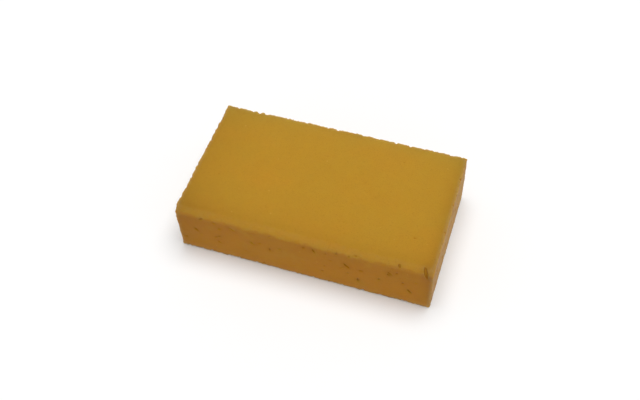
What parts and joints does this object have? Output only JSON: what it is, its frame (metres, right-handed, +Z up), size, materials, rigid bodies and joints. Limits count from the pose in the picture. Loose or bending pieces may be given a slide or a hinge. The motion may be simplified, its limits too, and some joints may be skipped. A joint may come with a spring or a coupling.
{
  "type": "cleaning sponge",
  "caption": "Rectangular block of cut foam with nearly sharp edges, a top that slopes down a little to a rolled-over front edge, and open slit pores, for washing and wiping by hand.",
  "frame": {"origin": "centre of the underside of the block", "axes": "+X along the length, +Y to the back, away from the rolled-over edge, +Z up through the height"},
  "size_m": [0.16, 0.088, 0.039],
  "materials": {
    "foam": "dry open-cell foam, dull amber, cut faces with slit pores"
  },
  "bodies": {
    "root": {"sponge": "foam"}
  },
  "joints": []
}
